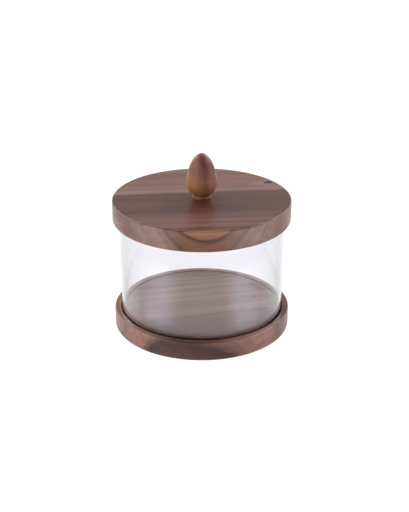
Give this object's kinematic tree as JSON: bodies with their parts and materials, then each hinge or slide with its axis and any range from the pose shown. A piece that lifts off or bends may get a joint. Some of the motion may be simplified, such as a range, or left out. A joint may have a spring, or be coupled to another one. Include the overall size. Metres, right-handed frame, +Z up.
{
  "type": "cake stand dome",
  "caption": "Round wooden cake stand with a clear glass cylinder standing in a ring groove and a lift-off wooden lid with a turned egg-shaped knob.",
  "frame": {"origin": "centre of the base's underside, on the surface that the stand rests on", "axes": "+Z up along the common axis of base, glass, lid and knob; the base's middle board runs 13 degrees from +X towards +Y, and the front is -Y"},
  "size_m": [0.25, 0.25, 0.2555],
  "materials": {
    "base_walnut": "satin oiled walnut, edge-glued boards",
    "lid_walnut": "satin lacquered walnut, edge-glued boards",
    "knob_walnut": "satin lacquered turned walnut",
    "clear_glass": "clear polished glass",
    "seal_silicone": "translucent matt silicone",
    "insert_brass": "turned brass",
    "screw_steel": "zinc-plated steel"
  },
  "bodies": {
    "base": {"base_board_back": "base_walnut", "base_board_middle": "base_walnut", "base_board_front": "base_walnut"},
    "glass": {"glass_cylinder": "clear_glass"},
    "lid": {"lid_board_back": "lid_walnut", "lid_board_middle": "lid_walnut", "lid_board_front": "lid_walnut", "lid_seal": "seal_silicone", "knob": "knob_walnut", "knob_insert": "insert_brass", "knob_screw": "screw_steel", "knob_washer": "screw_steel"}
  },
  "joints": [
    {"name": "glass_lift", "type": "slide", "parent": "base", "child": "glass", "axis": [0, 0, 1], "range_m": [0, 0.16]},
    {"name": "lid_lift", "type": "slide", "parent": "glass", "child": "lid", "axis": [0, 0, 1], "range_m": [0, 0.06]}
  ]
}
